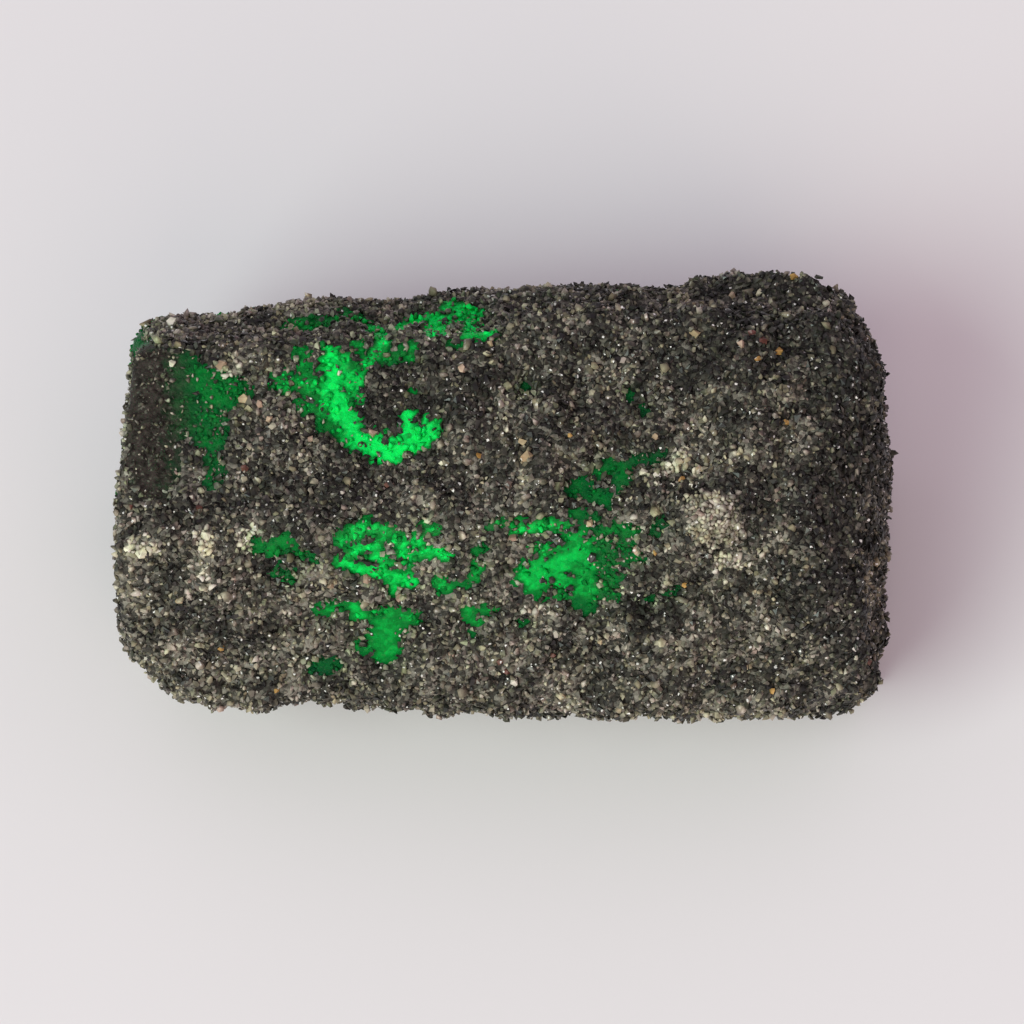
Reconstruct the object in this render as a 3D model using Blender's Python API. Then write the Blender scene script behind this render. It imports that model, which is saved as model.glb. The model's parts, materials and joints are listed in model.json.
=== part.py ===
"""Rough emerald: a short six-sided beryl crystal lying on one of its prism faces, with a crust of
dark mineral grains grown nearly all over it. The green crystal shows through windows in the crust.
The frame has its origin at the middle of the resting face, +X along the crystal and +Z up."""

import bmesh
import bpy
from mathutils import Matrix, Vector, noise

MM = 0.001

# Corners of the crusted stone in millimetres at its left end, its middle and past its broken
# right end. Each section goes round from the bottom front: bottom front, front edge, top front,
# top back, back edge, bottom back.
LEFT_SECTION = [(-14.3, -4.4, 0.0), (-15.3, -8.4, 7.0), (-15.3, -4.9, 14.4),
                (-14.7, 3.7, 14.7), (-14.7, 8.1, 7.8), (-14.6, 4.2, 0.0)]
MIDDLE_SECTION = [(0.0, -4.9, 0.0), (0.0, -9.4, 7.8), (0.0, -4.4, 15.4),
                  (0.0, 4.5, 15.7), (0.0, 9.2, 8.2), (0.0, 4.5, 0.0)]
RIGHT_SECTION = [(17.0, -4.8, 0.0), (17.0, -9.4, 7.6), (17.0, -3.8, 15.4),
                 (17.0, 5.1, 15.9), (17.0, 9.5, 8.4), (17.0, 5.0, 0.0)]
FRONT_EDGE, TOP_FRONT, TOP_BACK = 1, 2, 3

# The breaks that shorten the prism: a point on each plane and the way it faces.
BREAKS = [
    ((11.7, -3.9, 15.4), (0.79, -0.27, 0.54)),     # slanted upper part of the right end
    ((15.35, 0.0, 7.0), (1.00, -0.05, 0.03)),      # steep lower part of the right end
    ((15.35, 3.0, 8.0), (0.98, 0.14, 0.14)),       # the same, turned towards the back
    ((13.2, 9.4, 8.4), (0.80, 0.55, 0.24)),        # corner at the back of the right end
    ((15.0, -7.2, 5.0), (0.50, -0.80, -0.33)),     # lower front corner of the right end
    ((-15.4, -5.5, 7.0), (-0.68, -0.67, -0.30)),   # lower front corner of the left end
]

CRUST_DEPTH = 1.0        # from the crust's outside to the crystal
LEFT_CRUST_DEPTH = 0.6   # the same at the thinly coated left end
FIT_GAP = 0.3            # between the crust and the crystal
THINNEST_CRUST = 0.22
GRID = 0.8               # size of the crust's facets
RESTING_BAND = 0.45      # crust this close to the surface is worn flat on it

CLUSTER_SIZE, CLUSTER_RELIEF = 3.2, 0.36
GRAIN_SIZE, GRAIN_RELIEF = 1.9, 0.30
BREAK_START, BREAK_RELIEF = 12.5, 0.75    # the broken end is smoother than the faces
RAGGED_SIZE, RAGGED = 0.9, 0.35           # unevenness of the windows' outlines

CRYSTAL_BEVEL = 0.25
SHARP_EDGE = 0.35        # radians: edges turning more than this are bevelled

# Windows in the crust. Each is a path with a radius, along which the crystal is bare. On the top
# face a place is (x, y). On the front face it is (x, distance down from the top front edge).
TOP_WINDOWS = [
    ([(-15.2, 3.4), (-14.0, 1.0), (-13.8, -1.8)], 1.20),
    ([(-12.8, 3.0), (-11.8, 1.3), (-11.2, -0.8), (-10.9, -2.4)], 1.10),
    ([(-8.3, 3.4), (-6.8, 2.2), (-6.2, 0.9), (-5.4, -0.5), (-4.1, -0.7), (-2.8, 0.2)], 0.66),
    ([(-7.7, 4.2), (-5.5, 3.9), (-3.8, 4.3)], 0.60),
    ([(-2.3, 4.3), (-0.8, 4.4)], 0.66),
    ([(2.9, -2.3), (5.2, -1.5)], 0.72),
]
FRONT_WINDOWS = [
    ([(-6.2, 0.9), (-4.8, 2.0), (-2.9, 2.9)], 0.80),
    ([(-8.7, 1.6)], 0.66),
    ([(-7.2, 4.3), (-6.3, 4.3)], 0.52),
    ([(-5.0, 5.7), (-4.7, 5.2)], 0.92),
    ([(-7.2, 6.6)], 0.50),
    ([(-1.2, 4.2)], 0.56),
    ([(-0.1, 0.6), (2.3, 0.8)], 0.56),
    ([(1.7, 2.8), (3.3, 2.6)], 1.45),
    ([(5.6, 2.3)], 0.80),
]
# The same on the faces that are turned away, as (x, y, z): the back faces, the underside's edge
# and the left end.
FAR_WINDOWS = [
    ([(-14.9, 3.3, 14.6)], 1.35),
    ([(-7.6, 5.2, 14.5), (-4.0, 5.5, 14.6)], 0.72),
    ([(-2.3, 5.5, 14.7), (-0.8, 5.6, 14.7)], 0.66),
    ([(-8.5, 7.0, 11.9), (-6.0, 7.6, 11.0)], 1.05),
    ([(4.2, 7.4, 11.5)], 1.15),
    ([(-2.6, 7.2, 4.6), (-0.8, 7.6, 5.3)], 1.10),
    ([(8.4, -7.4, 4.4)], 1.00),
    ([(-14.8, 1.2, 9.6), (-14.8, 2.2, 8.0)], 1.05),
]
WINDOW_RIM = 0.75        # over which the crust slopes down to the crystal
WINDOW_DEPTH = 0.35      # below the cavity's wall, so that the crust opens

# Lumps and hollows that stand out from the rest: place, radius and height.
LUMPS = [
    ((-7.5, 8.6, 8.2), 4.2, 0.35),       # fuller back edge on the left
    ((8.8, 9.2, 8.8), 3.6, 0.50),        # swelling on the back edge
    ((-10.5, -4.4, 15.1), 1.6, 0.35),    # knots along the top front edge
    ((7.6, -4.3, 15.4), 1.9, 0.35),
    ((10.2, 1.0, 15.8), 2.2, 0.30),
    ((-0.6, 1.4, 15.6), 1.0, -0.45),     # pit on the top face
    ((4.3, 2.4, 15.7), 1.0, -0.35),      # crack on the top face, in two steps
    ((5.0, 0.8, 15.7), 0.9, -0.35),
    ((-9.4, -8.6, 8.6), 2.2, 0.35),
    ((3.8, -9.0, 8.2), 2.4, 0.30),
]

CRYSTAL_COLOUR = (0.010, 0.300, 0.075, 1.0)
CRUST_COLOUR = (0.060, 0.058, 0.048, 1.0)


def clear_scene():
    for thing in list(bpy.context.scene.objects):
        bpy.data.objects.remove(thing, do_unlink=True)


def add_object(name, mesh):
    thing = bpy.data.objects.new(name, mesh)
    bpy.context.scene.collection.objects.link(thing)
    return thing


def give_material(thing, name, colour, roughness, transmission, ior):
    material = bpy.data.materials.new(name)
    material.use_nodes = True
    shader = material.node_tree.nodes["Principled BSDF"]
    shader.inputs["Base Color"].default_value = colour
    shader.inputs["Metallic"].default_value = 0.0
    shader.inputs["Roughness"].default_value = roughness
    shader.inputs["Transmission Weight"].default_value = transmission
    shader.inputs["IOR"].default_value = ior
    material.diffuse_color = colour
    thing.data.materials.append(material)


def cut_off(form, point, facing):
    """Removes what lies beyond a plane and closes the cut."""
    everything = form.verts[:] + form.edges[:] + form.faces[:]
    bmesh.ops.bisect_plane(form, geom=everything, plane_co=Vector(point) * MM,
                           plane_no=Vector(facing), clear_outer=True)
    rim = [edge for edge in form.edges if edge.is_boundary]
    bmesh.ops.holes_fill(form, edges=rim)


def crusted_prism():
    """The whole stone with plane faces: three six-cornered sections joined, then broken."""
    form = bmesh.new()
    rings = [[form.verts.new(Vector(corner) * MM) for corner in section]
             for section in (LEFT_SECTION, MIDDLE_SECTION, RIGHT_SECTION)]
    for near, far in zip(rings, rings[1:]):
        for corner in range(6):
            after = (corner + 1) % 6
            form.faces.new((near[corner], near[after], far[after], far[corner]))
    form.faces.new(rings[0])
    form.faces.new(rings[-1])
    for point, facing in BREAKS:
        cut_off(form, point, facing)
    bmesh.ops.recalc_face_normals(form, faces=form.faces)
    return form


def crust_depth(x):
    """Depth of the crust at a distance along the stone: thin at the left end."""
    along = min(max(x / LEFT_SECTION[TOP_FRONT][0], 0.0), 1.0)
    return CRUST_DEPTH + (LEFT_CRUST_DEPTH - CRUST_DEPTH) * along


def shrunken_prism(name, less):
    """The plane-faced stone without the outer part of the crust, as a mesh."""
    form = crusted_prism()
    form.normal_update()
    moves = [(vertex, vertex.normal * (crust_depth(vertex.co.x / MM) - less) * MM
              * vertex.calc_shell_factor()) for vertex in form.verts]
    for vertex, move in moves:
        vertex.co -= move
    bmesh.ops.triangulate(form, faces=form.faces)
    mesh = bpy.data.meshes.new(name)
    form.to_mesh(mesh)
    form.free()
    return mesh


def mesh_as_seen(thing):
    """The object's mesh with its modifiers applied."""
    graph = bpy.context.evaluated_depsgraph_get()
    return bpy.data.meshes.new_from_object(thing.evaluated_get(graph))


def gridded_prism():
    """The plane-faced stone with small, even facets all over."""
    form = crusted_prism()
    mesh = bpy.data.meshes.new("gridded_prism")
    form.to_mesh(mesh)
    form.free()
    guide = add_object("gridded_prism", mesh)
    grid = guide.modifiers.new("Remesh", "REMESH")
    grid.mode = "VOXEL"
    grid.voxel_size = GRID * MM
    fine = mesh_as_seen(guide)
    bpy.data.objects.remove(guide, do_unlink=True)
    return fine


def on_edge(corner, x):
    """The point of one lengthwise edge at a distance along the stone, in millimetres."""
    near, far = (LEFT_SECTION, MIDDLE_SECTION) if x < 0 else (MIDDLE_SECTION, RIGHT_SECTION)
    start, end = Vector(near[corner]), Vector(far[corner])
    return start.lerp(end, (x - start.x) / (end.x - start.x))


def on_top(x, y):
    front, back = on_edge(TOP_FRONT, x), on_edge(TOP_BACK, x)
    return front.lerp(back, (y - front.y) / (back.y - front.y))


def on_front(x, down):
    """A point on the front face, some way down from its top edge."""
    top = on_edge(TOP_FRONT, x)
    return top + (on_edge(FRONT_EDGE, x) - top).normalized() * down


def windows():
    """Every window as its path of points and its radius, in millimetres."""
    found = [([on_top(*place) for place in path], radius) for path, radius in TOP_WINDOWS]
    found += [([on_front(*place) for place in path], radius) for path, radius in FRONT_WINDOWS]
    found += [([Vector(place) for place in path], radius) for path, radius in FAR_WINDOWS]
    return found


def distance_to_path(point, path):
    """The shortest distance from a point to a path of straight runs."""
    nearest = (point - path[0]).length
    for start, end in zip(path, path[1:]):
        run = end - start
        along = min(max((point - start).dot(run) / run.length_squared, 0.0), 1.0)
        nearest = min(nearest, (point - start - run * along).length)
    return nearest


def openness(point, openings):
    """From 0 under whole crust to 1 in a window."""
    ragged = RAGGED * noise.noise(point / RAGGED_SIZE)
    most = 0.0
    for path, radius in openings:
        inside = radius + WINDOW_RIM / 2 + ragged - distance_to_path(point, path)
        most = max(most, min(inside / WINDOW_RIM, 1.0))
    return most


def relief(point):
    """How far the crust stands out at a point of the plane faces, in millimetres."""
    clusters = noise.noise(point / CLUSTER_SIZE) * 2 * CLUSTER_RELIEF
    grains = (0.5 - noise.voronoi(point / GRAIN_SIZE)[0][0]) * 2 * GRAIN_RELIEF
    height = clusters + grains
    if point.x > BREAK_START:
        height *= BREAK_RELIEF
    for place, radius, rise in LUMPS:
        reach = 1 - (point - Vector(place)).length / radius
        if reach > 0:
            height += rise * reach * reach * (3 - 2 * reach)
    return height


def rough_prism():
    """The crust's outside: lumps, hollows and windows pressed into the gridded prism."""
    mesh = gridded_prism()
    form = bmesh.new()
    form.from_mesh(mesh)
    form.normal_update()
    openings = windows()
    moves = []
    for vertex in form.verts:
        point = vertex.co / MM
        wall = crust_depth(point.x) - FIT_GAP
        height = max(relief(point), THINNEST_CRUST - wall)
        bare = openness(point, openings)
        moves.append(height * (1 - bare) - (wall + WINDOW_DEPTH) * bare)
    for vertex, move in zip(form.verts, moves):
        vertex.co += vertex.normal * move * MM
        if vertex.co.z < RESTING_BAND * MM:
            vertex.co.z = 0.0
    bmesh.ops.recalc_face_normals(form, faces=form.faces)
    form.to_mesh(mesh)
    form.free()
    return mesh


def keep_largest_body(mesh):
    """Drops crumbs of crust that a window cut loose."""
    form = bmesh.new()
    form.from_mesh(mesh)
    waiting = set(form.verts)
    bodies = []
    while waiting:
        body = {waiting.pop()}
        edge_of_body = list(body)
        while edge_of_body:
            vertex = edge_of_body.pop()
            for edge in vertex.link_edges:
                other = edge.other_vert(vertex)
                if other in waiting:
                    waiting.remove(other)
                    body.add(other)
                    edge_of_body.append(other)
        bodies.append(body)
    bodies.sort(key=len)
    for crumb in bodies[:-1]:
        bmesh.ops.delete(form, geom=list(crumb), context="VERTS")
    form.to_mesh(mesh)
    form.free()


def make_crust():
    rough = add_object("rough_prism", rough_prism())
    cavity = add_object("cavity", shrunken_prism("cavity", FIT_GAP))
    hollow = rough.modifiers.new("Cavity", "BOOLEAN")
    hollow.operation = "DIFFERENCE"
    hollow.object = cavity
    hollow.solver = "EXACT"
    mesh = mesh_as_seen(rough)
    mesh.name = "matrix_crust"
    keep_largest_body(mesh)
    for guide in (rough, cavity):
        bpy.data.objects.remove(guide, do_unlink=True)
    crust = add_object("matrix_crust", mesh)
    mesh.materials.clear()
    give_material(crust, "dark_grains", CRUST_COLOUR, 0.75, 0.0, 1.55)
    return crust


def make_crystal():
    crystal = add_object("emerald_crystal", shrunken_prism("emerald_crystal", 0.0))
    edges = crystal.modifiers.new("Bevel", "BEVEL")
    edges.width = CRYSTAL_BEVEL * MM
    edges.segments = 1
    edges.limit_method = "ANGLE"
    edges.angle_limit = SHARP_EDGE
    give_material(crystal, "emerald", CRYSTAL_COLOUR, 0.12, 0.6, 1.58)
    return crystal


def centre_on_resting_face(crust, crystal):
    """Puts the origin below the middle of the stone's box."""
    xs, ys = ([vertex.co[axis] for vertex in crust.data.vertices] for axis in (0, 1))
    middle = Vector((min(xs) + max(xs), min(ys) + max(ys), 0.0)) / 2
    for piece in (crust, crystal):
        piece.data.transform(Matrix.Translation(-middle))


clear_scene()
centre_on_resting_face(make_crust(), make_crystal())
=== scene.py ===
"""Rough emerald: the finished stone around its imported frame, on pale paper in soft light."""

import json
import math
import random

import bmesh
import bpy
from mathutils import Euler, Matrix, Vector, noise
from mathutils.bvhtree import BVHTree

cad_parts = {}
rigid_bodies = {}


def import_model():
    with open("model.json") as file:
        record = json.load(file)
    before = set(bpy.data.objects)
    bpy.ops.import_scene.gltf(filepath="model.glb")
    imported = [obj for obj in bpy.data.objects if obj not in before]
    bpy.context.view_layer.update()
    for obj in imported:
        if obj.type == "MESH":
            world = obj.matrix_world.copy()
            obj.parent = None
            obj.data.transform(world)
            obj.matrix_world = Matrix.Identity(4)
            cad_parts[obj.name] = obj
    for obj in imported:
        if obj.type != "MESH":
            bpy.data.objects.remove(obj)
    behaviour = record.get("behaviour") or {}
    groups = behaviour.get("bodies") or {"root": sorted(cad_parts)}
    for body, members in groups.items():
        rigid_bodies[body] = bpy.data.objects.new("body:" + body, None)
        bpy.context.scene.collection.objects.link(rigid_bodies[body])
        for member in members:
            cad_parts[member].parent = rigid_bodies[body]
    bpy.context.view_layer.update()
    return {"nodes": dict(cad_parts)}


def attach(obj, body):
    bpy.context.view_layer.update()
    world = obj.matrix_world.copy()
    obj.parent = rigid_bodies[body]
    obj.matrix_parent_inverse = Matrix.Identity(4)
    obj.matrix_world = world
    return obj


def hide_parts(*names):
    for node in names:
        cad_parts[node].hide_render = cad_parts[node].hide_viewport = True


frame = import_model()

# The camera looks down on the stone from the front, as it did for the photograph. What that shows at
# a spot is found on the stone by a ray through the pixel, so the camera comes first.

scene = bpy.context.scene
MM = 0.001
CAMERA_TILT = math.radians(66)
CAMERA_DISTANCE = 260 * MM
LOOK_AT = Vector((0.08, -0.72, 8.2)) * MM    # in the middle of the picture
PICTURE = 1024           # pixels across and down
PIXELS_PER_MM = 25.0
PICTURE_WIDTH = PICTURE / PIXELS_PER_MM * MM
SENSOR = 36.0

camera = bpy.data.objects.new("camera", bpy.data.cameras.new("camera"))
scene.collection.objects.link(camera)
view_back = Vector((0, -math.cos(CAMERA_TILT), math.sin(CAMERA_TILT)))
view_right = Vector((1, 0, 0))
view_up = view_back.cross(view_right)
camera.location = LOOK_AT + view_back * CAMERA_DISTANCE
camera.rotation_euler = (math.radians(90) - CAMERA_TILT, 0, 0)
camera.data.sensor_width = SENSOR
camera.data.lens = SENSOR * CAMERA_DISTANCE / PICTURE_WIDTH
camera.data.clip_start = 10 * MM
scene.camera = camera


def ray_through(pixel):
    """The direction in which the camera sees a pixel of the photograph."""
    across = (pixel[0] - PICTURE / 2) / PICTURE * PICTURE_WIDTH
    up = (PICTURE / 2 - pixel[1]) / PICTURE * PICTURE_WIDTH
    return (view_right * across + view_up * up - view_back * CAMERA_DISTANCE).normalized()


# The skin is the crystal's surface in a fine, even mesh, grown to the inside of the crust, and nearer
# to its outside along the left end and the upper back edge, where green shows at the outline. The
# emerald and the bed of its crust are both made from it, so they meet all over. It isn't a piece.

SKIN_STEP = 0.19
ONE_VERTEX = 0.0001      # within which vertices are joined
FIT_GAP = 0.3            # that the frame leaves between the crystal and the crust
SKIN_CLEARANCE = 0.02    # that the skin leaves of it
SHARPEST = 1.5           # growth at a corner, over growth on a face
ROUNDING_PASSES = 3      # that take the sharpness off its edges
CAST_FROM = 4.0          # above the skin, to find the crust's outside
CAST_BELOW = 0.1         # the skin, where that search ends
THICKEST = 1.7           # of the crust over the skin
PASS_STEP = 0.25         # along a ray that passes the stone by
PASS_STEPS = range(-56, 57)    # of it, to both sides of the stone's middle
SHALLOW_EDGE = [(119, 470), (123, 430), (128, 390), (132, 360), (134, 328), (150, 324), (175, 318),
                (200, 316), (250, 313), (300, 306), (350, 299), (400, 304), (450, 294), (500, 293),
                (550, 290), (575, 290)]
SHALLOW_WIDTH = 1.3      # of the strip beside that edge, fading out to twice as much
SHALLOW_CRUST = 0.10     # over the skin there


def add_object(name, mesh):
    made = bpy.data.objects.new(name, mesh)
    scene.collection.objects.link(made)
    return made


def applied_mesh(holder):
    graph = bpy.context.evaluated_depsgraph_get()
    return bpy.data.meshes.new_from_object(holder.evaluated_get(graph))


def merged_form(node):
    """A frame node's mesh with its loose triangles joined."""
    form = bmesh.new()
    form.from_mesh(frame["nodes"][node].data)
    bmesh.ops.remove_doubles(form, verts=form.verts, dist=ONE_VERTEX * MM)
    bmesh.ops.recalc_face_normals(form, faces=form.faces)
    form.normal_update()
    return form


def evenly_meshed(form, step, name):
    """The closed form as an even mesh of small squares."""
    mesh = bpy.data.meshes.new(name)
    form.to_mesh(mesh)
    form.free()
    holder = add_object(name, mesh)
    grid = holder.modifiers.new("Remesh", "REMESH")
    grid.mode = "VOXEL"
    grid.voxel_size = step * MM
    rounding = holder.modifiers.new("Smooth", "SMOOTH")
    rounding.iterations = ROUNDING_PASSES
    even = applied_mesh(holder)
    bpy.data.objects.remove(holder, do_unlink=True)
    return even


def make_skin():
    form = merged_form("emerald_crystal")
    moves = [vertex.normal * min(vertex.calc_shell_factor(), SHARPEST) for vertex in form.verts]
    for vertex, move in zip(form.verts, moves):
        vertex.co += move * (FIT_GAP - SKIN_CLEARANCE) * MM
    return evenly_meshed(form, SKIN_STEP, "skin")


def surface_of(mesh):
    return BVHTree.FromPolygons([v.co for v in mesh.vertices], [p.vertices for p in mesh.polygons])


skin = make_skin()
skin_tree = surface_of(skin)
crust_form = merged_form("matrix_crust")
crust_tree = BVHTree.FromBMesh(crust_form)
crust_form.free()


def seen_at(pixel, surface):
    """What a pixel shows of a surface, or, past its outline, where the ray passes the skin."""
    ray = ray_through(pixel)
    seen = surface.ray_cast(camera.location, ray)[0]
    if seen is not None:
        return seen
    stops = [camera.location + ray * (CAMERA_DISTANCE + step * PASS_STEP * MM) for step in PASS_STEPS]
    return min(stops, key=lambda place: skin_tree.find_nearest(place)[3])


def on_skin(pixel, surface=None):
    """The point of the skin, in millimetres, nearest to what a pixel shows of a surface."""
    return skin_tree.find_nearest(seen_at(pixel, surface or skin_tree))[0] / MM


def crust_thickness(place, facing):
    """How far the frame's crust stands above the skin, in millimetres, and -1 where it is open."""
    start = place + facing * CAST_FROM * MM
    hit, normal, index, distance = crust_tree.ray_cast(start, -facing, (CAST_FROM + CAST_BELOW) * MM)
    if hit is None:
        return -1.0
    return min(max(CAST_FROM - distance / MM, 0.0), THICKEST)


def distance_to_path(point, path):
    """The shortest distance from a point to a path of straight runs."""
    nearest = (point - path[0]).length
    for start, end in zip(path, path[1:]):
        run = end - start
        along = min(max((point - start).dot(run) / run.length_squared, 0.0), 1.0)
        nearest = min(nearest, (point - start - run * along).length)
    return nearest


def move_out(mesh, heights):
    """Moves each vertex along its normal by a height in millimetres, and not through the floor."""
    places = []
    for vertex, height in zip(mesh.vertices, heights):
        place = vertex.co + vertex.normal * height * MM
        places.extend((place.x, place.y, max(place.z, 0.0)))
    mesh.vertices.foreach_set("co", places)
    mesh.update()


def raise_edge():
    """Brings the skin up to the outside along the shallow edge."""
    edge = [on_skin(pixel, crust_tree) for pixel in SHALLOW_EDGE]
    outsides = [seen_at(pixel, crust_tree) / MM for pixel in SHALLOW_EDGE]
    gaps = [(outside - near).length for near, outside in zip(edge, outsides)]
    heights = []
    for vertex in skin.vertices:
        point = vertex.co / MM
        away = distance_to_path(point, edge) / SHALLOW_WIDTH
        height = 0.0
        if away < 2:
            weights = [math.exp(-(near - point).length_squared / 2) for near in edge]
            mean_gap = sum(weight * gap for weight, gap in zip(weights, gaps)) / sum(weights)
            height = max(mean_gap - SHALLOW_CRUST, 0.0) * min(2 - away, 1.0)
        heights.append(height)
    move_out(skin, heights)


raise_edge()
skin_tree = surface_of(skin)


# The windows are where the crust has come away and the crystal shows. Each was read off the
# photograph: a path of pixels, its half width in millimetres, how brightly the green glows there
# from 0 to 1, and how thickly fine grains veil it.

WINDOWS = [
    # The smooth left end under its dark film, and the deep green beside it
    ([(134, 331), (138, 346), (150, 352)], 0.50, 0.12, 0.05),
    ([(130, 338), (128, 356), (127, 380)], 0.50, 0.04, 0.05),
    ([(140, 322), (156, 319)], 0.40, 0.10, 0.1),
    ([(146, 362), (150, 420), (154, 476)], 0.84, 0.05, 0.2),
    ([(180, 370), (182, 420)], 0.76, 0.17, 0.3),
    ([(202, 378), (214, 398), (234, 392)], 0.62, 0.36, 0.3),
    ([(206, 412), (212, 440)], 0.56, 0.28, 0.8),
    ([(213, 462), (213, 480)], 0.34, 0.22, 0.9),
    # The bright hook on the top face
    ([(333, 358), (336, 376), (331, 396)], 0.46, 0.90, 0.2),
    ([(331, 396), (343, 412), (353, 436)], 0.50, 0.80, 0.2),
    ([(353, 436), (370, 444), (384, 450)], 0.42, 1.00, 0.2),
    ([(384, 452), (400, 446), (420, 438), (432, 430)], 0.42, 1.00, 0.3),
    ([(344, 360), (354, 378), (356, 396)], 0.30, 0.70, 0.4),
    ([(320, 424), (334, 430)], 0.20, 0.45, 0.5),
    ([(408, 417), (410, 428)], 0.26, 0.95, 0.3),
    ([(282, 382), (300, 384), (318, 390)], 0.38, 0.60, 0.4),
    ([(302, 352), (303, 372)], 0.24, 0.60, 0.3),
    ([(300, 404), (318, 411)], 0.22, 0.60, 0.4),
    # The veiled network along the top back edge
    ([(294, 328), (312, 326), (330, 328), (350, 320)], 0.50, 0.44, 0.6),
    ([(300, 337), (322, 337)], 0.22, 0.36, 0.8),
    ([(343, 311), (356, 315)], 0.24, 0.45, 0.5),
    ([(357, 345), (364, 352)], 0.24, 0.60, 0.3),
    ([(368, 326), (384, 338), (378, 352), (368, 358)], 0.36, 0.72, 0.4),
    ([(378, 357), (400, 360)], 0.20, 0.50, 0.5),
    ([(398, 332), (412, 324), (432, 323), (438, 334)], 0.50, 0.94, 0.3),
    ([(408, 344), (412, 358)], 0.22, 0.55, 0.4),
    ([(450, 304), (458, 314), (452, 326)], 0.46, 0.70, 0.5),
    ([(464, 310), (476, 314), (470, 332)], 0.46, 0.82, 0.4),
    ([(470, 334), (490, 333)], 0.38, 0.82, 0.3),
    ([(450, 344), (458, 345)], 0.14, 0.40, 0.3),
    ([(556, 307), (562, 308)], 0.26, 0.30, 0.5),
    # The bright network below the top front edge
    ([(260, 546), (272, 548), (286, 540)], 0.34, 0.35, 0.3),
    ([(296, 548), (304, 554)], 0.22, 0.35, 0.4),
    ([(311, 556), (315, 560)], 0.14, 0.35, 0.2),
    ([(278, 572), (290, 576)], 0.26, 0.28, 0.6),
    ([(342, 538), (366, 527), (394, 536)], 0.30, 0.62, 0.5),
    ([(342, 560), (354, 550), (374, 548)], 0.30, 0.66, 0.3),
    ([(354, 568), (376, 573), (396, 576), (410, 579)], 0.34, 0.72, 0.2),
    ([(378, 552), (388, 566)], 0.30, 0.72, 0.2),
    ([(399, 541), (410, 558)], 0.30, 0.72, 0.3),
    ([(394, 578), (396, 592)], 0.20, 0.66, 0.1),
    ([(416, 538), (424, 550), (444, 556)], 0.26, 0.76, 0.2),
    ([(424, 526), (436, 531)], 0.20, 0.60, 0.9),
    ([(438, 580), (448, 588)], 0.24, 0.55, 0.3),
    ([(456, 584), (466, 585)], 0.20, 0.40, 0.3),
    ([(478, 564), (474, 576)], 0.20, 0.55, 0.2),
    ([(476, 552), (484, 546)], 0.14, 0.40, 0.3),
    ([(320, 611), (338, 606)], 0.28, 0.50, 0.2),
    ([(354, 606), (360, 614)], 0.26, 0.62, 0.1),
    ([(382, 612), (396, 612), (412, 618)], 0.30, 0.52, 0.2),
    ([(388, 622), (384, 642), (386, 648)], 0.66, 0.50, 0.02),
    ([(360, 646), (372, 646)], 0.30, 0.40, 0.2),
    ([(316, 664), (334, 666)], 0.30, 0.12, 0.3),
    ([(468, 612), (474, 622)], 0.22, 0.60, 0.2),
    ([(480, 610), (492, 610)], 0.16, 0.55, 0.2),
    ([(472, 632), (473, 634)], 0.12, 0.35, 0.2),
    ([(522, 620), (524, 623)], 0.14, 0.30, 0.3),
    # The wide window in the middle, veiled towards the right
    ([(490, 526), (502, 523)], 0.13, 0.40, 0.9),
    ([(518, 527), (532, 529)], 0.28, 0.74, 0.3),
    ([(545, 526), (562, 527)], 0.24, 0.68, 0.3),
    ([(534, 572), (560, 566), (580, 552)], 0.66, 0.60, 0.05),
    ([(532, 585), (540, 590)], 0.30, 0.60, 0.1),
    ([(538, 546), (556, 552)], 0.24, 0.60, 0.4),
    ([(556, 582), (566, 592)], 0.34, 0.56, 0.3),
    ([(596, 530), (620, 528)], 0.24, 0.44, 0.5),
    ([(576, 540), (584, 566), (584, 590)], 0.60, 0.52, 0.1),
    ([(582, 600), (588, 608)], 0.34, 0.25, 0.2),
    ([(606, 548), (608, 572), (608, 594)], 0.46, 0.30, 0.8),
    ([(624, 545), (632, 562)], 0.36, 0.26, 1.0),
    ([(618, 530), (634, 532)], 0.26, 0.36, 0.4),
    ([(576, 512), (590, 518)], 0.24, 0.30, 0.4),
    ([(654, 530), (662, 524)], 0.20, 0.20, 0.5),
    ([(643, 598), (650, 598)], 0.18, 0.20, 0.5),
    ([(664, 592), (674, 590)], 0.18, 0.20, 0.5),
    # The dull green patches above it, and the crack
    ([(600, 472), (614, 466), (624, 472), (618, 484)], 0.28, 0.30, 0.4),
    ([(572, 490), (582, 486)], 0.28, 0.24, 0.2),
    ([(594, 496), (606, 500)], 0.30, 0.28, 0.3),
    ([(634, 460), (650, 460), (660, 456)], 0.16, 0.14, 0.8),
    ([(522, 387), (525, 389)], 0.20, 0.18, 0.4),
    ([(631, 392), (632, 398)], 0.16, 0.20, 0.3),
    ([(642, 408), (645, 414)], 0.10, 0.16, 0.3),
    ([(412, 392), (414, 394)], 0.09, 0.80, 0.0),
]
WINDOW_GROWTH = 0.07     # on the half widths, for what the grains round a window overhang
WINDOW_BLEND = 4.0       # how sharply glow and veil pass from one window to the next
HIDDEN_WINDOW = (0.3, 0.35, 0.4)    # depth, glow and veil where the photograph doesn't show a window
WINDOW_FADE = 1.0        # past its slope, where a window no longer counts
TINY_WEIGHT = 1e-9       # that keeps the mean sound where no window counts
RAGGED_SIZE, RAGGED = 0.33, 0.44    # of the humps in a window's edge, and how far they reach
EDGE_SLOPE = 0.8         # over which the crust thins out towards a window
EDGE_SHADE = 0.30        # over which the green darkens towards the crust
TURNED_AWAY = 0.08       # cosine, below which a face is out of the photograph's sight


def roughness_at(point, size):
    """A smooth random value around zero at a point, with humps of a size in millimetres."""
    return noise.noise(point / size) + 0.5 * noise.noise(point / size * 2.3)


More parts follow.
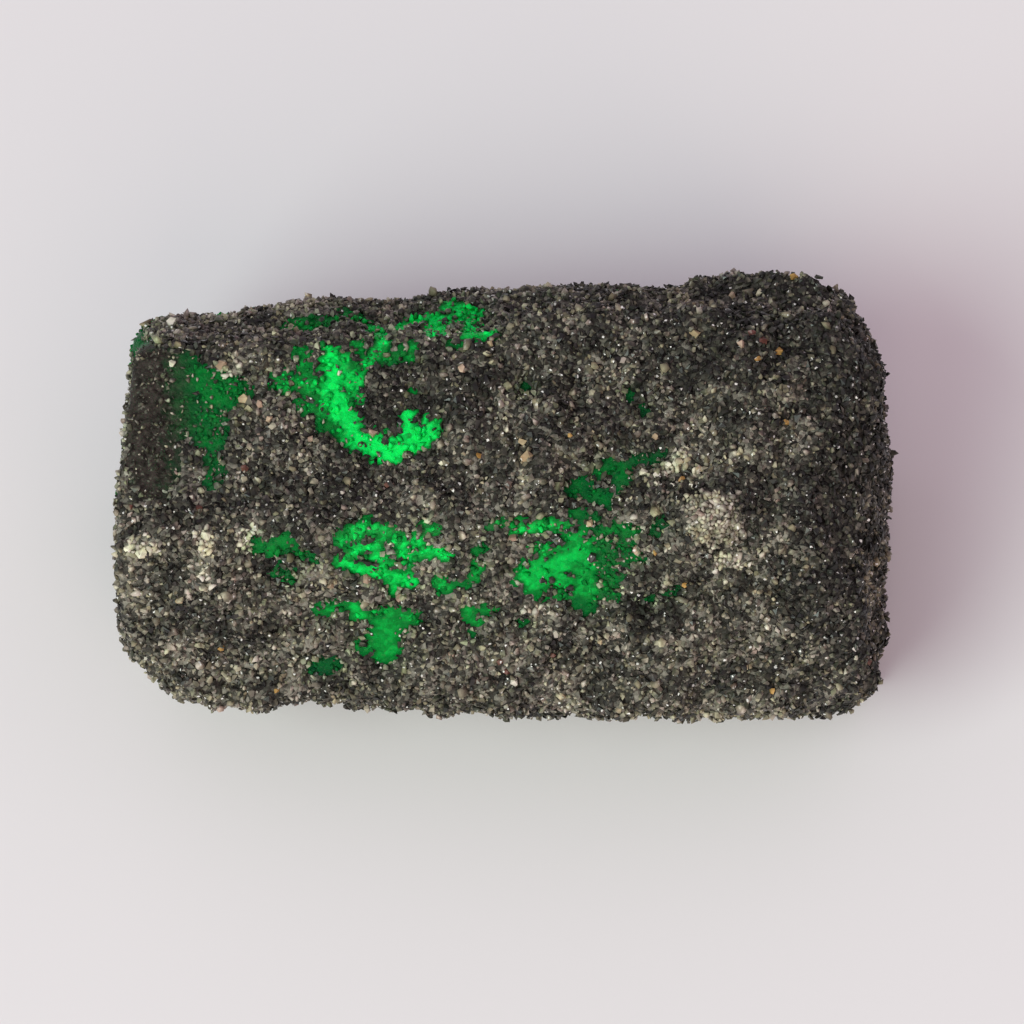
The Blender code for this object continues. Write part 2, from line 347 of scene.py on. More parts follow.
windows = []
for pixels, half_width, glow, veil in WINDOWS:
    half_width += WINDOW_GROWTH
    path = [on_skin(pixel) for pixel in pixels]
    middle = sum(path, Vector()) / len(path)
    reach = max((place - middle).length for place in path) + half_width + EDGE_SLOPE + WINDOW_FADE
    windows.append((path, half_width, glow, veil, middle, reach))


def window_at(point):
    """How far inside a window a point in millimetres is, with the window's glow and veil."""
    ragged = RAGGED * roughness_at(point, RAGGED_SIZE)
    deepest, glows, veils, weights = -EDGE_SLOPE, 0.0, 0.0, TINY_WEIGHT
    for path, half_width, glow, veil, middle, reach in windows:
        if (point - middle).length > reach:
            continue
        inside = half_width - distance_to_path(point, path)
        deepest = max(deepest, inside + ragged * min(half_width * 2, 1.0))
        weight = math.exp(WINDOW_BLEND * (inside - half_width) / half_width)
        glows += glow * weight
        veils += veil * weight
        weights += weight
    return deepest, glows / weights, veils / weights


def read_skin():
    """Thickness of the crust, window depth, glow and veil at each vertex of the skin."""
    found = []
    for vertex in skin.vertices:
        thickness = crust_thickness(vertex.co, vertex.normal)
        inside, glow, veil = window_at(vertex.co / MM)
        hidden = vertex.normal.dot((camera.location - vertex.co).normalized()) < TURNED_AWAY
        if hidden and inside < 0 and thickness < 0:
            inside, glow, veil = HIDDEN_WINDOW
        found.append((thickness, inside, glow, veil))
    return found


skin_facts = read_skin()


def add_values(mesh, lists):
    """Stores numbers at each vertex, by name, for materials and scattering to read."""
    for name, values in lists.items():
        attribute = mesh.attributes.new(name, "FLOAT", "POINT")
        attribute.data.foreach_set("value", values)


def limited(value):
    """A number kept between 0 and 1."""
    return min(max(value, 0.0), 1.0)


# The emerald: a short six-sided prism of beryl, deep to bright green, with a fine pitted growth
# surface where it is bare. Its left end is stained by a brown-black film. It grew inside the rock
# that still coats it.

PITTING_SIZE, PITTING = 0.40, 0.05    # of the pits, and their depth
FACET_SIZE = 0.24        # of the growth surface
SPECK_SIZE = 0.085       # of the finest crystals, here and on the grains of the crust
FILM_PATH = [(136, 365), (139, 430), (136, 505)]
FILM_WIDTH = 1.9
FILM_END = 1.25          # widths from its path, where it has faded out
RIM_GLOW = 0.55          # at the crust's edge, of the glow in the middle of a window
BARE_FROM = 0.04         # inside a window, where fine grains lie on the green
RIM_SPECKS, FILM_SPECKS = 0.6, 0.3    # share of them next to the crust, and in the film
SPECK_CLUMP_SIZE, SPECK_MEAN, SPECK_CLUMPS = 0.5, 0.6, 1.6
LUMP_SLOPE = 0.1         # over which the green lumps begin
BARE_LUMPS, VEILED_LUMPS = 0.1, 1.8   # share of them on bare green, and more where it is veiled
DEEP_GREEN = (0.001, 0.040, 0.015)
MID_GREEN = (0.002, 0.200, 0.028)
BRIGHT_GREEN = (0.002, 0.860, 0.120)
FILM_DARK, FILM_PALE = (0.014, 0.012, 0.010), (0.064, 0.057, 0.047)
VEIL_GREY = (0.055, 0.095, 0.058)
# pale dots on the green: specks of the film, and painted glints
SPECK_AND_GLINT_GREY = (0.160, 0.165, 0.130)
EVEN_SHADE, EVEN_PALE = 0.5, 0.45     # where each grain has a value of its own


class Wire:
    """One output of a node. Arithmetic on wires adds Math nodes to their tree."""

    def __init__(self, tree, socket=None):
        self.tree = tree
        self.socket = socket

    def node(self, kind, settings=(), sockets=(), output=0):
        """Adds a node: its settings first, then its sockets' values or links."""
        made = self.tree.nodes.new(kind)
        for name, value in dict(settings).items():
            if name == "stops":
                bands = made.color_ramp.elements
                while len(bands) < len(value):
                    bands.new(1.0)
                for band, (place, colour) in zip(bands, value):
                    band.position = place
                    band.color = (*colour, 1.0)
            else:
                setattr(made, name, value)
        for name, value in dict(sockets).items():
            if isinstance(value, Wire):
                self.tree.links.new(value.socket, made.inputs[name])
            else:
                made.inputs[name].default_value = value
        return Wire(self.tree, made.outputs[output])

    def other(self, name):
        """Another output of the same node."""
        return Wire(self.tree, self.socket.node.outputs[name])

    def maths(self, operation, *values, clamp=False):
        settings = {"operation": operation, "use_clamp": clamp}
        return self.node("ShaderNodeMath", settings, enumerate(values))

    def __add__(self, other):
        return self.maths("ADD", self, other)

    def __radd__(self, other):
        return self.maths("ADD", other, self)

    def __sub__(self, other):
        return self.maths("SUBTRACT", self, other)

    def __rsub__(self, other):
        return self.maths("SUBTRACT", other, self)

    def __mul__(self, other):
        return self.maths("MULTIPLY", self, other)

    def __rmul__(self, other):
        return self.maths("MULTIPLY", other, self)

    def clamped(self):
        return self.maths("ADD", self, 0.0, clamp=True)


def start_material(name):
    """A new material, with a wire to build on and its Principled shader."""
    material = bpy.data.materials.new(name)
    material.use_nodes = True
    return material, Wire(material.node_tree), material.node_tree.nodes["Principled BSDF"]


def plug(wire, shader, name):
    wire.tree.links.new(wire.socket, shader.inputs[name])


def blend(wire, factor, first, second):
    """A colour between two others."""
    return wire.node("ShaderNodeMix", {"data_type": "RGBA"}, {0: factor, 6: first, 7: second}, output=2)


def coloured(value):
    return (*value, 1.0)


def stored(wire, name):
    """A number stored at the vertices of a piece."""
    return wire.node("ShaderNodeAttribute", {"attribute_name": name}, output=2)


def ramp(wire, place, stops):
    """The colour at a place from 0 to 1 on a run of colours."""
    return wire.node("ShaderNodeValToRGB", {"stops": stops}, {0: place})


def cloud(wire, size, detail=2.0, roughness=0.5):
    """A soft noise of a given grain in millimetres, from 0 to 1."""
    place = wire.node("ShaderNodeTexCoord", output=3)
    return wire.node("ShaderNodeTexNoise", {}, {
        "Vector": place, "Scale": 1 / (size * MM), "Detail": detail, "Roughness": roughness})


def crystals(wire, size):
    """Packed angular cells of a size in millimetres: their height, and a chance value for each."""
    place = wire.node("ShaderNodeTexCoord", output=3)
    cells = wire.node("ShaderNodeTexVoronoi", {}, {"Vector": place, "Scale": 1 / (size * MM)})
    chance = wire.node("ShaderNodeSeparateColor", {}, {0: cells.other("Color")})
    return 1 - cells, chance


def emerald_material():
    material, wire, shader = start_material("emerald")
    glow, film, veil, shade = [stored(wire, name) for name in ("glow", "film", "veil", "shade")]
    height, facet = crystals(wire, FACET_SIZE)
    speck = crystals(wire, SPECK_SIZE)[1]
    clouded = (cloud(wire, 0.9, 3.0) - 0.5) * 0.6 + (cloud(wire, 0.17, 3.0, 0.6) - 0.5) * 0.6
    clouded = (clouded + (facet - 0.5) * 0.35 + (shade - 0.5) * 0.8) * (0.4 + veil * 2).clamped()
    depth = (glow * (1.10 + clouded) + clouded * 0.10).clamped()
    green = ramp(wire, depth, [(0.0, DEEP_GREEN), (0.5, MID_GREEN), (1.0, BRIGHT_GREEN)])
    dusty = (veil * (cloud(wire, 0.20, 3.0) * 2.4 - 0.9)).clamped()
    green = blend(wire, dusty * 0.5, green, coloured(VEIL_GREY))
    stained = (film * 1.35 + (cloud(wire, 0.50, 4.0, 0.6) - 0.5) * film * 3.0).clamped()
    blotch = (cloud(wire, 0.30, 4.0, 0.7) * 3 - 1.1).clamped()
    green = blend(wire, stained, green, blend(wire, blotch, coloured(FILM_DARK), coloured(FILM_PALE)))
    # fine pale dots: the film's own specks where it lies, and painted glints over the rest of the green
    specks_and_painted_glints = (speck * 12 - 11.3 + (stained + veil) * 0.4).clamped() * (0.15 + stained * 0.5)
    green = blend(wire, specks_and_painted_glints, green, coloured(SPECK_AND_GLINT_GREY))
    plug(green, shader, "Base Color")
    plug(0.22 + cloud(wire, 0.3) * 0.25 + stained * 0.15, shader, "Roughness")
    bump = wire.node("ShaderNodeBump", {}, {
        "Strength": 0.7, "Distance": 0.07 * MM, "Height": height + cloud(wire, 0.10, 3.0, 0.6)})
    plug(bump, shader, "Normal")
    shader.inputs["IOR"].default_value = 1.58
    shader.inputs["Specular IOR Level"].default_value = 0.04
    shader.inputs["Subsurface Weight"].default_value = 0.3
    shader.inputs["Subsurface Radius"].default_value = (0.15, 1.0, 0.35)
    shader.inputs["Subsurface Scale"].default_value = 0.35 * MM
    return material


def make_emerald():
    mesh = skin.copy()
    mesh.name = "emerald"
    film_path = [on_skin(pixel) for pixel in FILM_PATH]
    glows, veils, films, specks, lumps, heights = [], [], [], [], [], []
    for vertex, (thickness, inside, glow, veil) in zip(mesh.vertices, skin_facts):
        point = vertex.co / MM
        film = limited(FILM_END - distance_to_path(point, film_path) / FILM_WIDTH)
        glows.append(glow * limited(RIM_GLOW + (1 - RIM_GLOW) * inside / EDGE_SHADE))
        veils.append(veil)
        films.append(film)
        rim = max(1 - inside / EDGE_SHADE, 0.0)
        clumps = SPECK_MEAN + SPECK_CLUMPS * roughness_at(point, SPECK_CLUMP_SIZE)
        speck = limited((veil + RIM_SPECKS * rim + FILM_SPECKS * film) * clumps)
        specks.append(speck if inside > BARE_FROM else 0.0)
        veiled = min(BARE_LUMPS + VEILED_LUMPS * veil, 1.0)
        lumps.append(limited(inside / LUMP_SLOPE) * (1 - film) * veiled)
        heights.append(PITTING * roughness_at(point, PITTING_SIZE))
    move_out(mesh, heights)
    add_values(mesh, {"glow": glows, "veil": veils, "film": films, "specks": specks, "lumps": lumps,
                      "shade": [EVEN_SHADE] * len(glows), "pale": [EVEN_PALE] * len(glows)})
    mesh.materials.append(emerald_material())
    mesh.shade_smooth()
    emerald = add_object("emerald", mesh)
    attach(emerald, "root")
    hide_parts("emerald_crystal")
    return emerald


emerald = make_emerald()


# The bed of the crust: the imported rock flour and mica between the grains, dark and nearly black. It
# fills the space that the frame's crust takes, thins out towards each window and dives under the
# crystal there. The separate grains are set into it.

BED_SINK = 0.25          # below the crystal's surface inside a window
SINK_SLOPE = 0.08        # over which it dives
BED_LOWER = 0.16         # below the frame's crust, to leave room for the grains
BED_ROUGH_SIZE, BED_ROUGH = 1.0, 0.24       # of its knots, and their height
BED_GRAINY_SIZE, BED_GRAINY = 0.42, 0.21    # of the clumps on them
THINNEST = 0.10
EDGE_FULLNESS = 0.7      # below 1 the crust stays full near a window
UNDERSIDE = -0.8         # upward part of a normal, below which a face is one the stone lies on
UNDERSIDE_COVER = 0.3    # share of the grains kept there
LAST_GRAINS = 0.02       # inside a window, where the crust's grains end
BED_GRAIN_SIZE = 0.22
BED_DARK, BED_MIDDLE, BED_LIGHT = (0.009, 0.008, 0.007), (0.056, 0.053, 0.043), (0.250, 0.235, 0.195)
BED_PALEST = (0.330, 0.310, 0.248)

# Places on the crust: a path of pixels, a radius and an amount. The first amounts are heights in
# millimetres that the crust stands out or falls back by. The next make it paler or darker, and those
# over the right end are painted shade of a face turned from the light. The patches are where small pale
# grains have grown together.
SWELLINGS = [
    ([(122, 345), (120, 390)], 1.2, -0.50),
    ([(640, 297), (700, 290)], 0.8, 0.52),
    ([(740, 290), (806, 294)], 0.8, 0.80),
    ([(855, 302)], 1.0, -1.45),
    ([(250, 706)], 0.6, 0.30),
    ([(352, 706)], 0.8, -1.30),
    ([(500, 698)], 0.7, 0.60),
    ([(622, 704), (655, 703)], 0.7, 0.40),
    ([(702, 704)], 0.6, -0.55),
    ([(750, 704)], 0.7, 0.60),
    ([(828, 710), (852, 706)], 0.8, -1.00),
    ([(120, 530), (120, 610)], 0.7, -0.60),
    ([(124, 640), (150, 672)], 0.8, -0.90),
    ([(882, 598), (884, 645)], 1.0, -1.35),
    ([(872, 330)], 0.8, -0.40),
]
FRONT_TONE_AND_PAINTED_LIGHT, END_PAINTED_SHADE = 0.06, -0.42    # paler grains and painted light on all that faces the front, painted shade on the right end
TONES_AND_PAINTED_SHADE = [
    ([(560, 470), (600, 462), (640, 462), (690, 466)], 1.0, 0.36),
    ([(630, 540), (660, 536)], 1.0, 0.30),
    ([(740, 450), (765, 520)], 0.7, 0.15),
    ([(670, 500), (690, 500)], 0.6, -0.32),
    ([(180, 322), (300, 318), (440, 312)], 1.0, 0.55),
    ([(520, 300), (640, 296)], 0.5, 0.15),
    ([(400, 410), (440, 410), (480, 430), (520, 440)], 1.2, -0.34),
    ([(690, 375), (735, 365), (735, 430)], 1.1, -0.34),
    ([(785, 580), (785, 650)], 1.0, -0.30),
    ([(835, 360), (832, 500)], 0.9, -0.25),
    ([(170, 505), (290, 502), (400, 500)], 0.9, -0.18),
    ([(530, 610)], 0.9, -0.20),
    ([(670, 605), (700, 600)], 0.9, 0.28),
    ([(330, 575), (400, 592), (480, 575)], 0.7, 0.20),
    ([(275, 675), (310, 690)], 0.7, 0.22),
    ([(565, 680), (660, 680)], 0.7, 0.20),
    ([(640, 680), (700, 690)], 0.9, 0.15),
    ([(120, 390), (160, 330)], 0.6, 0.10),
    ([(180, 548), (250, 545), (400, 575), (540, 560)], 1.3, 0.15),
    ([(525, 455), (545, 465)], 0.6, -0.48),
    ([(575, 495), (625, 540)], 0.5, 0.35),
    ([(640, 645), (690, 650)], 0.7, -0.15),
    ([(240, 630), (290, 640)], 0.8, -0.15),
    ([(180, 500)], 0.6, -0.20),
    ([(830, 350), (830, 440)], 0.7, -0.25),
    ([(785, 575)], 0.6, -0.36),
    ([(680, 540), (690, 530)], 0.4, -0.30),
    ([(680, 390)], 0.6, -0.15),
    ([(130, 650), (250, 645), (290, 630)], 1.4, -0.26),
    ([(660, 640), (780, 660)], 1.6, 0.10),
    ([(126, 370), (120, 460), (118, 590)], 0.8, 0.35),
    ([(445, 365), (560, 390), (610, 420)], 1.8, -0.15),
    ([(690, 310), (800, 325), (780, 370)], 1.8, -0.20),
    # painted shade over the right end, which is turned from the light, and darker vertical lines on it
    ([(856, 350), (842, 420), (830, 500), (838, 560), (862, 640)], 1.5, -0.30),
    ([(826, 470), (828, 530)], 0.30, -0.35),
    ([(850, 400), (846, 500)], 0.28, -0.35),
    ([(868, 440), (866, 560)], 0.28, -0.35),
    ([(748, 506), (751, 546)], 0.30, -0.60),
    ([(702, 488), (736, 478)], 0.34, -0.45),
    ([(722, 476), (745, 492)], 0.34, -0.30),
    ([(670, 460), (700, 472)], 0.6, 0.20),
    ([(830, 570), (828, 620)], 0.8, -0.20),
    ([(635, 648)], 0.8, -0.22),
    ([(485, 680)], 0.7, -0.22),
    ([(485, 400)], 0.8, -0.20),
    ([(375, 425), (395, 445)], 0.5, 0.35),
    ([(380, 325), (490, 325)], 0.6, 0.35),
    ([(285, 500), (300, 515)], 0.6, -0.15),
    ([(330, 435)], 0.6, -0.20),
]
TONE_SIZES, TONE_ROUGH = (2.6, 0.9), 0.65    # of paler and darker areas, and how strong they are
TONE_SHIFT = Vector((7, 3, 5))      # so that the tone doesn't follow the humps
PATCHES = [
    ([(702, 512), (718, 520), (730, 536)], 0.50, 1.6),
    ([(722, 512), (730, 530)], 0.34, 0.8),
    ([(134, 551), (149, 550)], 0.34, 1.1),
    ([(201, 535), (208, 540)], 0.30, 1.1),
    ([(242, 541), (250, 535)], 0.30, 1.1),
    ([(668, 468), (684, 454)], 0.24, 0.9),
    ([(730, 453), (752, 452)], 0.22, 0.6),
    ([(717, 566), (729, 563)], 0.26, 1.0),
    ([(743, 567)], 0.24, 1.0),
    ([(224, 371)], 0.50, 0.8),
    ([(250, 402)], 0.50, 0.3),
    ([(232, 470)], 0.40, 0.5),
    ([(655, 476), (690, 462)], 0.45, 0.5),
    ([(205, 580), (225, 584)], 0.60, 0.4),
    ([(430, 500), (440, 512)], 0.40, 0.5),
    ([(620, 590), (630, 600)], 0.45, 0.4),
    ([(530, 610), (548, 620)], 0.50, 0.3),
    ([(700, 640), (716, 650)], 0.50, 0.3),
]
PATCH_RAGGED, PATCH_RAGGED_SIZE = 0.5, 0.4
PATCH_EDGE, PATCH_STEEP = 0.30, 3.0    # amount at which a patch begins, and how fast it fills
PATCH_LIFT = 0.28        # on the tone there
PATCH_CLEARS = 0.9       # share of the other grains that it leaves no room for
LEAST_LIGHT, MORE_LIGHT, FEWER_DARK = 0.2, 0.8, 0.6    # shares of the grains in the palest areas
GREEN_LIGHT_REACH, GREEN_LIGHT_END = 0.5, 0.1    # outside a window and inside it, where grains get painted green light from it


def placed_amount(point, places):
    """The sum of what the places give at a point, each fading out over its radius."""
    total = 0.0
    for path, radius, amount in places:
        away = distance_to_path(point, path) / radius
        if away < 2:
            total += amount * math.exp(-away * away)
    return total


def on_the_stone(places):
    return [([on_skin(pixel, crust_tree) for pixel in pixels], radius, amount)
            for pixels, radius, amount in places]


def crust_height(point, thickness, inside, swelling):
    """Height of the bed above the skin in millimetres."""
    if inside > 0:
        return -BED_SINK * min(inside / SINK_SLOPE, 1.0)
    shelter = min(-inside / EDGE_SLOPE, 1.0)
    humps = BED_ROUGH * roughness_at(point, BED_ROUGH_SIZE)
    rough = humps + BED_GRAINY * roughness_at(point, BED_GRAINY_SIZE)
    full = max(thickness - BED_LOWER + swelling + rough, THINNEST)
    return THINNEST * 0.5 + (full - THINNEST * 0.5) * shelter ** EDGE_FULLNESS


def bed_material():
    material, wire, shader = start_material("crust_bed")
    height, grain = crystals(wire, BED_GRAIN_SIZE)
    pale, patch = stored(wire, "pale"), stored(wire, "patch")
    tone = (grain + (pale - 0.5) * 0.5 + (cloud(wire, 0.12, 3.0, 0.6) - 0.5) * 0.5).clamped()
    colour = ramp(wire, tone, [(0.0, BED_DARK), (0.6, BED_MIDDLE), (1.0, BED_LIGHT)])
    colour = blend(wire, (patch * (0.4 + grain)).clamped(), colour, coloured(BED_PALEST))
    plug(colour, shader, "Base Color")
    plug(0.30 + grain * 0.5, shader, "Roughness")
    bump = wire.node("ShaderNodeBump", {}, {
        "Strength": 1.0, "Distance": 0.14 * MM, "Height": height + cloud(wire, 0.08, 3.0, 0.6) * 0.5})
    plug(bump, shader, "Normal")
    shader.inputs["Specular IOR Level"].default_value = 0.2
    return material


def make_bed():
    mesh = skin.copy()
    mesh.name = "crust_bed"
    swellings, tones_and_painted_shade, patches = on_the_stone(SWELLINGS), on_the_stone(TONES_AND_PAINTED_SHADE), on_the_stone(PATCHES)
    covers, darks, pales, lights, patchworks, green_light_shares, heights = [], [], [], [], [], [], []
    for vertex, (thickness, inside, glow, veil) in zip(mesh.vertices, skin_facts):
        point = vertex.co / MM
        heights.append(crust_height(point, thickness, inside, placed_amount(point, swellings)))
        cover = UNDERSIDE_COVER if vertex.normal.z < UNDERSIDE else 1.0
        if inside > LAST_GRAINS:
            cover = 0.0
        patchy = sum(TONE_ROUGH * roughness_at(point + TONE_SHIFT, size) for size in TONE_SIZES)
        # painted light on what faces the front and painted shade on the right end, set by the way the
        # surface faces and added to the paleness of the bed and its grains
        facing = FRONT_TONE_AND_PAINTED_LIGHT * max(-vertex.normal.y, 0.0) + END_PAINTED_SHADE * max(vertex.normal.x, 0.0)
        ragged = placed_amount(point, patches) + PATCH_RAGGED * roughness_at(point, PATCH_RAGGED_SIZE)
        patch = limited((ragged - PATCH_EDGE) * PATCH_STEEP)
        pale = limited(0.5 + patchy + facing + placed_amount(point, tones_and_painted_shade) + PATCH_LIFT * patch)
        patchworks.append(cover * patch)
        cover *= 1 - PATCH_CLEARS * patch
        covers.append(cover)
        pales.append(pale)
        lights.append(cover * (LEAST_LIGHT + MORE_LIGHT * pale))
        darks.append(cover * (1.0 - FEWER_DARK * pale))
        # how much painted green light from the window the grains there get
        green_light_shares.append(limited(1 + inside / GREEN_LIGHT_REACH) if inside < GREEN_LIGHT_END else 0.0)
    move_out(mesh, heights)
    add_values(mesh, {"cover": covers, "pale": pales, "light": lights, "dark": darks,
                      "patch": patchworks, "tinge": green_light_shares})
    mesh.materials.append(bed_material())
    mesh.shade_smooth()
    bed = add_object("crust_bed", mesh)
    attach(bed, "root")
    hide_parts("matrix_crust")
    return bed


bed = make_bed()


# The grains of the crust: thousands of crystals of mica, hornblende, quartz and feldspar, mostly a
# fifth to half a millimetre across and grown into each other. Each kind is scattered over the bed or
# the green by the same tree of nodes, with its own shapes, sizes and colours.

GOLDEN_ANGLE = math.pi * (3 - math.sqrt(5))
CORNER_REACH = (0.85, 1.1)    # of a grain's corners, over half its size
LIFT_CHANCE = 0.3             # of a grain's size, by which it stands higher or lower than its kind
SHAPES_EACH = 6
SHAPE_DRAWS = 60.0            # a multiple of it, so that each shape is as likely
DENSEST = 1e9                 # points to a square metre: more than the spacing lets through


def grain_shapes(kind, corners, stretch, uneven, smooth, seed):
    """A few grains of one kind, each the hull of points spread unevenly over a stretched ball."""
    draw = random.Random(seed)
    shapes = bpy.data.collections.new(kind + "_shapes")
    for number in range(SHAPES_EACH):
        form = bmesh.new()
        for corner in range(corners):
            height = 1 - (2 * corner + 1) / corners
            turn = GOLDEN_ANGLE * corner
            ring = math.sqrt(1 - height * height)
            way = Vector((math.cos(turn) * ring, math.sin(turn) * ring, height))
            way = (way + Vector([draw.gauss(0, uneven) for axis in range(3)])).normalized()
            form.verts.new([w * s * draw.uniform(*CORNER_REACH) / 2 for w, s in zip(way, stretch)])
        bmesh.ops.convex_hull(form, input=form.verts)
        loose = [vertex for vertex in form.verts if not vertex.link_faces]
        bmesh.ops.delete(form, geom=loose, context="VERTS")
        bmesh.ops.recalc_face_normals(form, faces=form.faces)
        for face in form.faces:
            face.smooth = smooth
        mesh = bpy.data.meshes.new(f"{kind}_shape_{number}")
        form.to_mesh(mesh)
        form.free()
        shapes.objects.link(bpy.data.objects.new(mesh.name, mesh))
    return shapes


def scatter_tree():
    """Grains on a surface: as many as fit at a spacing, turned and sized at random."""
    tree = bpy.data.node_groups.new("scatter_grains", "GeometryNodeTree")
    inputs = [("Geometry", "NodeSocketGeometry"), ("Shapes", "NodeSocketCollection"),
              ("Material", "NodeSocketMaterial"), ("Where", "NodeSocketString"),
              ("Share", "NodeSocketFloat"), ("Spacing", "NodeSocketFloat"),
              ("Smallest", "NodeSocketFloat"), ("Largest", "NodeSocketFloat"),
              ("Lift", "NodeSocketFloat"), ("Tilt", "NodeSocketFloat"), ("Seed", "NodeSocketInt")]
    for name, kind in inputs:
        tree.interface.new_socket(name, in_out="INPUT", socket_type=kind)
    tree.interface.new_socket("Geometry", in_out="OUTPUT", socket_type="NodeSocketGeometry")
    start = tree.nodes.new("NodeGroupInput")
    given = {name: Wire(tree, start.outputs[name]) for name, kind in inputs}
    wire = Wire(tree)
    seed = given["Seed"]
    where = wire.node("GeometryNodeInputNamedAttribute", {"data_type": "FLOAT"},
                      {"Name": given["Where"]})
    points = wire.node("GeometryNodeDistributePointsOnFaces", {"distribute_method": "POISSON"}, {
        "Mesh": given["Geometry"], "Distance Min": given["Spacing"], "Density Max": DENSEST,
        "Density Factor": where * given["Share"], "Seed": seed})
    rotation = points.other("Rotation")

    def chance(low, high, offset):
        return wire.node("FunctionNodeRandomValue", {"data_type": "FLOAT"}, {
            2: low, 3: high, "Seed": seed + offset}, output=1)

    size = chance(0.0, 1.0, 1)
    size = given["Smallest"] + (given["Largest"] - given["Smallest"]) * size * size
    turn = wire.node("ShaderNodeCombineXYZ", {}, {
        "X": chance(-1.0, 1.0, 2) * given["Tilt"], "Y": chance(-1.0, 1.0, 3) * given["Tilt"],
        "Z": chance(-math.pi, math.pi, 4)})
    instances = wire.node("GeometryNodeInstanceOnPoints", {}, {
        "Points": points,
        "Instance": wire.node("GeometryNodeCollectionInfo", {}, {
            "Collection": given["Shapes"], "Separate Children": True, "Reset Children": True}),
        "Pick Instance": True, "Instance Index": chance(0.0, SHAPE_DRAWS, 5), "Scale": size,
        "Rotation": wire.node("FunctionNodeRotateRotation", {"rotation_space": "LOCAL"}, {
            "Rotation": rotation, "Rotate By": turn})})
    lift = given["Lift"] + chance(-LIFT_CHANCE, LIFT_CHANCE, 6)
    rise = wire.node("ShaderNodeCombineXYZ", {}, {"Z": size * lift})
    raised = wire.node("ShaderNodeVectorRotate", {"rotation_type": "EULER_XYZ"}, {
        "Vector": rise, "Rotation": rotation})
    lifted = wire.node("GeometryNodeTranslateInstances", {}, {
        "Instances": instances, "Translation": raised, "Local Space": False})
    on_each = {"data_type": "FLOAT", "domain": "INSTANCE"}
    for name, offset in (("shade", 7), ("hue", 8)):
        lifted = wire.node("GeometryNodeStoreNamedAttribute", on_each, {
            "Geometry": lifted, "Name": name, "Value": chance(0.0, 1.0, offset)})
    solid = wire.node("GeometryNodeRealizeInstances", {}, {"Geometry": lifted})
    painted = wire.node("GeometryNodeSetMaterial", {}, {
        "Geometry": solid, "Material": given["Material"]})
    end = tree.nodes.new("NodeGroupOutput")
    tree.links.new(painted.socket, end.inputs[0])
    return tree


SCATTER = scatter_tree()


def keep_off_floor(mesh):
    """Flattens what would reach through the floor that the stone lies on."""
    places = [0.0] * (3 * len(mesh.vertices))
    mesh.vertices.foreach_get("co", places)
    places[2::3] = [max(height, 0.0) for height in places[2::3]]
    mesh.vertices.foreach_set("co", places)
    mesh.update()


def scatter(name, ground, shapes, material, seed, spacing, sizes, where="cover", share=1.0,
            lift=0.15, tilt=3.0, slot="dark_crust"):
    """One piece of grains over a ground's mesh, with the spacing and sizes in millimetres."""
    holder = add_object(name, ground.data)
    layer = holder.modifiers.new("Grains", "NODES")
    layer.node_group = SCATTER
    values = {"Shapes": shapes, "Material": material, "Where": where, "Share": share,
              "Spacing": spacing * MM, "Smallest": sizes[0] * MM, "Largest": sizes[1] * MM,
              "Lift": lift, "Tilt": tilt, "Seed": seed}
    for socket in SCATTER.interface.items_tree:
        if socket.name in values:
            layer[socket.identifier] = values[socket.name]
    mesh = applied_mesh(holder)
    bpy.data.objects.remove(holder, do_unlink=True)
    mesh.name = name
    keep_off_floor(mesh)
    grains = add_object(name, mesh)
    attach(grains, "root")


GRAIN_TINTS = [(0.0, (1.0, 0.80, 0.77)), (0.2, (0.97, 0.92, 0.92)), (0.45, (1.0, 0.96, 0.86)),
               (0.75, (0.96, 0.98, 0.76)), (1.0, (1.0, 0.88, 0.66))]
# painted green light that grains next to a window take on
PAINTED_GREEN_LIGHT = (0.55, 1.25, 0.70)
# painted glints: the colour of the white specks that stand for highlights on the grains
PAINTED_GLINT = (0.80, 0.80, 0.76)
PAINTED_GLINTS_FROM = 0.98            # chance value from which a finest crystal gets a painted glint
PAINTED_GLINT_STEEP = 60
CLUMP_SIZE, TINT_SIZE, MOTTLE_SIZE = 0.42, 1.1, 0.10    # of clumps alike in tone or tint, and flecks


def tinted(wire, amount, colour, tint):
    """A colour multiplied by another, by an amount from 0 to 1."""
    settings = {"data_type": "RGBA", "blend_type": "MULTIPLY"}
    return wire.node("ShaderNodeMix", settings, {0: amount, 6: colour, 7: tint}, output=2)


